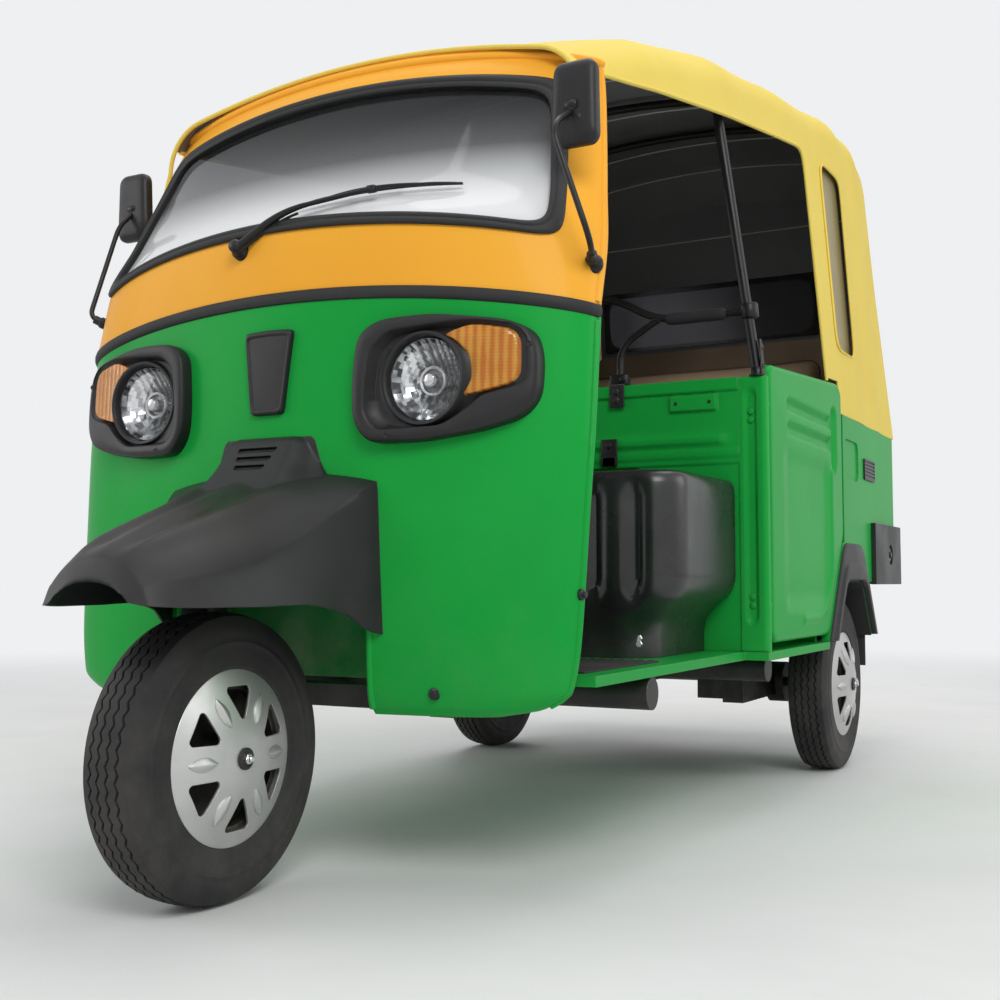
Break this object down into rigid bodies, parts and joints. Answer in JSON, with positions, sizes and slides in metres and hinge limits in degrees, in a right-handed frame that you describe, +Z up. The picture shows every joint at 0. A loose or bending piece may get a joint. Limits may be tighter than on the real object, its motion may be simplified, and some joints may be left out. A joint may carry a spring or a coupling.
{
  "type": "auto rickshaw",
  "caption": "Passenger three-wheeler with a handlebar-steered front wheel, open cab, fabric hood, bench seat and a hinged half-height passenger door.",
  "frame": {"origin": "middle of the part's box on the ground", "axes": "+X to the vehicle's left, -Y to its front, +Z up"},
  "size_m": [1.342, 3.138, 2.1057],
  "materials": {
    "chassis": "satin",
    "green_paint": "gloss",
    "orange_paint": "gloss",
    "black_paint": "satin",
    "black_plastic": "grained",
    "black_rubber": "matt",
    "glass": "clear",
    "lamp_glass": "clear",
    "amber_plastic": "gloss",
    "red_plastic": "gloss",
    "seat_cover": "grained",
    "hood_cloth": "coated cloth",
    "window_film": "translucent film",
    "engine_metal": "matt",
    "tyre_rubber": "matt",
    "rim_steel": "satin",
    "silver_plastic": "silver paint"
  },
  "bodies": {
    "body": {"chassis_rails": "chassis", "crossmembers": "chassis", "floor_pan": "green_paint", "floor_mat": "black_rubber", "wheel_well": "green_paint", "front_cowl": "green_paint", "belt_moulding": "black_rubber", "windscreen_surround": "orange_paint", "windscreen_gasket": "black_rubber", "windscreen": "glass", "front_mudguard": "black_plastic", "headlamp_bezels": "black_plastic", "headlamps": "lamp_glass", "turn_lamps": "amber_plastic", "nose_badge": "black_plastic", "wiper": "black_plastic", "mirrors": "black_plastic", "instrument_panel": "black_plastic", "bulkhead": "green_paint", "seat_box": "black_plastic", "driver_seat": "seat_cover", "grab_rail": "black_paint", "seat_base": "green_paint", "passenger_seat": "seat_cover", "rear_side_left": "green_paint", "rear_side_right": "green_paint", "rear_panel": "green_paint", "arch_flares": "black_plastic", "rear_bumper": "black_plastic", "tail_lamps": "red_plastic", "side_vents": "black_plastic", "canopy": "hood_cloth", "hood_frame": "black_paint", "hood_windows": "window_film", "engine": "engine_metal", "silencer": "engine_metal", "rear_arms": "chassis", "door_hinges": "black_paint"},
    "steering": {"fork": "chassis", "handlebar": "black_paint"},
    "front_wheel": {"front_tyre": "tyre_rubber", "front_rim": "rim_steel", "front_wheel_cover": "silver_plastic"},
    "rear_wheel_left": {"rear_tyre_left": "tyre_rubber", "rear_rim_left": "rim_steel", "rear_wheel_cover_left": "silver_plastic"},
    "rear_wheel_right": {"rear_tyre_right": "tyre_rubber", "rear_rim_right": "rim_steel", "rear_wheel_cover_right": "silver_plastic"},
    "passenger_door": {"passenger_door": "green_paint"}
  },
  "joints": [
    {"name": "steering", "type": "hinge", "parent": "body", "child": "steering", "pos_m": [0, -1.206, 0.252], "axis": [0, 0.342, 0.9397], "range_deg": [-35, 35]},
    {"name": "front_wheel_spin", "type": "hinge", "parent": "steering", "child": "front_wheel", "pos_m": [0, -1.281, 0.252], "axis": [1, 0, 0], "continuous": true},
    {"name": "rear_wheel_left_spin", "type": "hinge", "parent": "body", "child": "rear_wheel_left", "pos_m": [0.569, 0.819, 0.252], "axis": [1, 0, 0], "continuous": true},
    {"name": "rear_wheel_right_spin", "type": "hinge", "parent": "body", "child": "rear_wheel_right", "pos_m": [-0.569, 0.819, 0.252], "axis": [1, 0, 0], "continuous": true},
    {"name": "passenger_door_swing", "type": "hinge", "parent": "body", "child": "passenger_door", "pos_m": [0.643, -0.031, 0.75], "axis": [0, 0, -1], "range_deg": [0, 85]}
  ]
}
